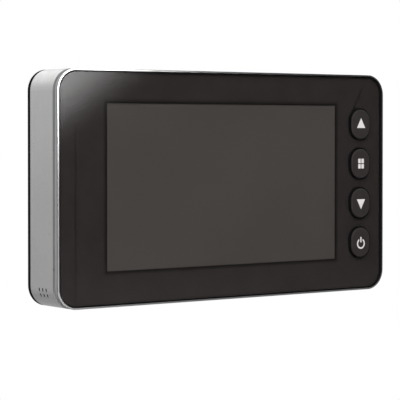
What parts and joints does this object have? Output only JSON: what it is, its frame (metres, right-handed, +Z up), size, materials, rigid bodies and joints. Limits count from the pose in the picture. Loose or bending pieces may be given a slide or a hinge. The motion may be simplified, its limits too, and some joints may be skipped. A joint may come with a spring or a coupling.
{
  "type": "peephole door camera",
  "caption": "Door viewer camera: indoor monitor with a screen and four push buttons, hung on a door bracket, with a threaded barrel through the peephole to an outdoor camera head.",
  "frame": {"origin": "the peephole's axis where it meets the door's inner face", "axes": "+X right along the door seen from indoors, +Y outwards through the door, +Z up"},
  "size_m": [0.1372, 0.0728, 0.0764],
  "materials": {
    "front_glass": "clear gloss",
    "black_film": "printed black behind glass",
    "screen": "dark switched-off display",
    "light_guide": "milky",
    "steel": "plain sheet",
    "ribbon": "amber film",
    "socket_plastic": "moulded",
    "bright_metal": "polished",
    "satin_metal": "satin silver",
    "black_plastic": "fine moulded texture",
    "dark_screw": "blackened",
    "foam": "closed-cell foam",
    "switch_body": "moulded",
    "circuit_board": "green solder mask",
    "chip": "moulded black",
    "card_plastic": "moulded black",
    "speaker_paper": "paper cone",
    "cell_wrap": "plain shrink wrap over a can",
    "bracket_steel": "zinc plated",
    "plated_brass": "nickel plated",
    "gloss_black": "gloss black",
    "lens_glass": "coated lens",
    "lamp_lens": "dark tinted",
    "button_cap": "satin black",
    "icon_white": "white inlay"
  },
  "bodies": {
    "door_mount": {"door_bracket": "bracket_steel", "clamp_nut": "plated_brass", "barrel_tube": "plated_brass", "outdoor_gasket": "foam", "outdoor_housing": "satin_metal", "faceplate": "gloss_black", "infrared_leds": "lamp_lens", "outdoor_board": "circuit_board", "outdoor_screws": "steel", "image_sensor": "chip", "lens_barrel": "black_plastic", "lens_glass": "lens_glass", "lens_ring": "bright_metal", "bell_switch": "switch_body"},
    "monitor": {"front_glass": "front_glass", "glass_film": "black_film", "screen_panel": "screen", "backlight": "light_guide", "screen_frame": "steel", "screen_ribbon": "ribbon", "ribbon_socket": "socket_plastic", "front_bezel": "bright_metal", "side_band": "satin_metal", "chassis": "black_plastic", "rear_cover": "black_plastic", "case_screws": "dark_screw", "rear_pads": "foam", "button_switches": "switch_body", "main_board": "circuit_board", "board_screws": "steel", "processor_chip": "chip", "memory_chips": "chip", "power_coils": "chip", "camera_socket": "socket_plastic", "card_socket": "steel", "speaker": "speaker_paper", "microphone": "steel", "battery_cells": "cell_wrap", "battery_springs": "steel", "battery_plates": "steel"},
    "up_key": {"up_button": "button_cap", "up_icon": "icon_white", "up_plunger": "switch_body"},
    "menu_key": {"menu_button": "button_cap", "menu_icon": "icon_white", "menu_plunger": "switch_body"},
    "down_key": {"down_button": "button_cap", "down_icon": "icon_white", "down_plunger": "switch_body"},
    "power_key": {"power_button": "button_cap", "power_icon": "icon_white", "power_plunger": "switch_body"},
    "cell_door": {"battery_lid": "black_plastic"},
    "card": {"memory_card": "card_plastic"},
    "bell_key": {"bell_button": "bright_metal", "bell_plunger": "switch_body"}
  },
  "joints": [
    {"name": "monitor_lift", "type": "slide", "parent": "door_mount", "child": "monitor", "axis": [0, 0, 1], "range_m": [0, 0.0045]},
    {"name": "up_press", "type": "slide", "parent": "monitor", "child": "up_key", "axis": [0, 1, 0], "range_m": [0, 0.0005], "stiffness_N_per_m": 1200},
    {"name": "menu_press", "type": "slide", "parent": "monitor", "child": "menu_key", "axis": [0, 1, 0], "range_m": [0, 0.0005], "stiffness_N_per_m": 1200},
    {"name": "down_press", "type": "slide", "parent": "monitor", "child": "down_key", "axis": [0, 1, 0], "range_m": [0, 0.0005], "stiffness_N_per_m": 1200},
    {"name": "power_press", "type": "slide", "parent": "monitor", "child": "power_key", "axis": [0, 1, 0], "range_m": [0, 0.0005], "stiffness_N_per_m": 1200},
    {"name": "lid_hinge", "type": "hinge", "parent": "monitor", "child": "cell_door", "pos_m": [-0.064, -0.0019, 0], "axis": [0, 0, 1], "range_deg": [0, 90]},
    {"name": "card_slide", "type": "slide", "parent": "monitor", "child": "card", "axis": [1, 0, 0], "range_m": [0, 0.012]},
    {"name": "bell_press", "type": "slide", "parent": "door_mount", "child": "bell_key", "axis": [0, -1, 0], "range_m": [0, 0.0006], "stiffness_N_per_m": 1200}
  ]
}
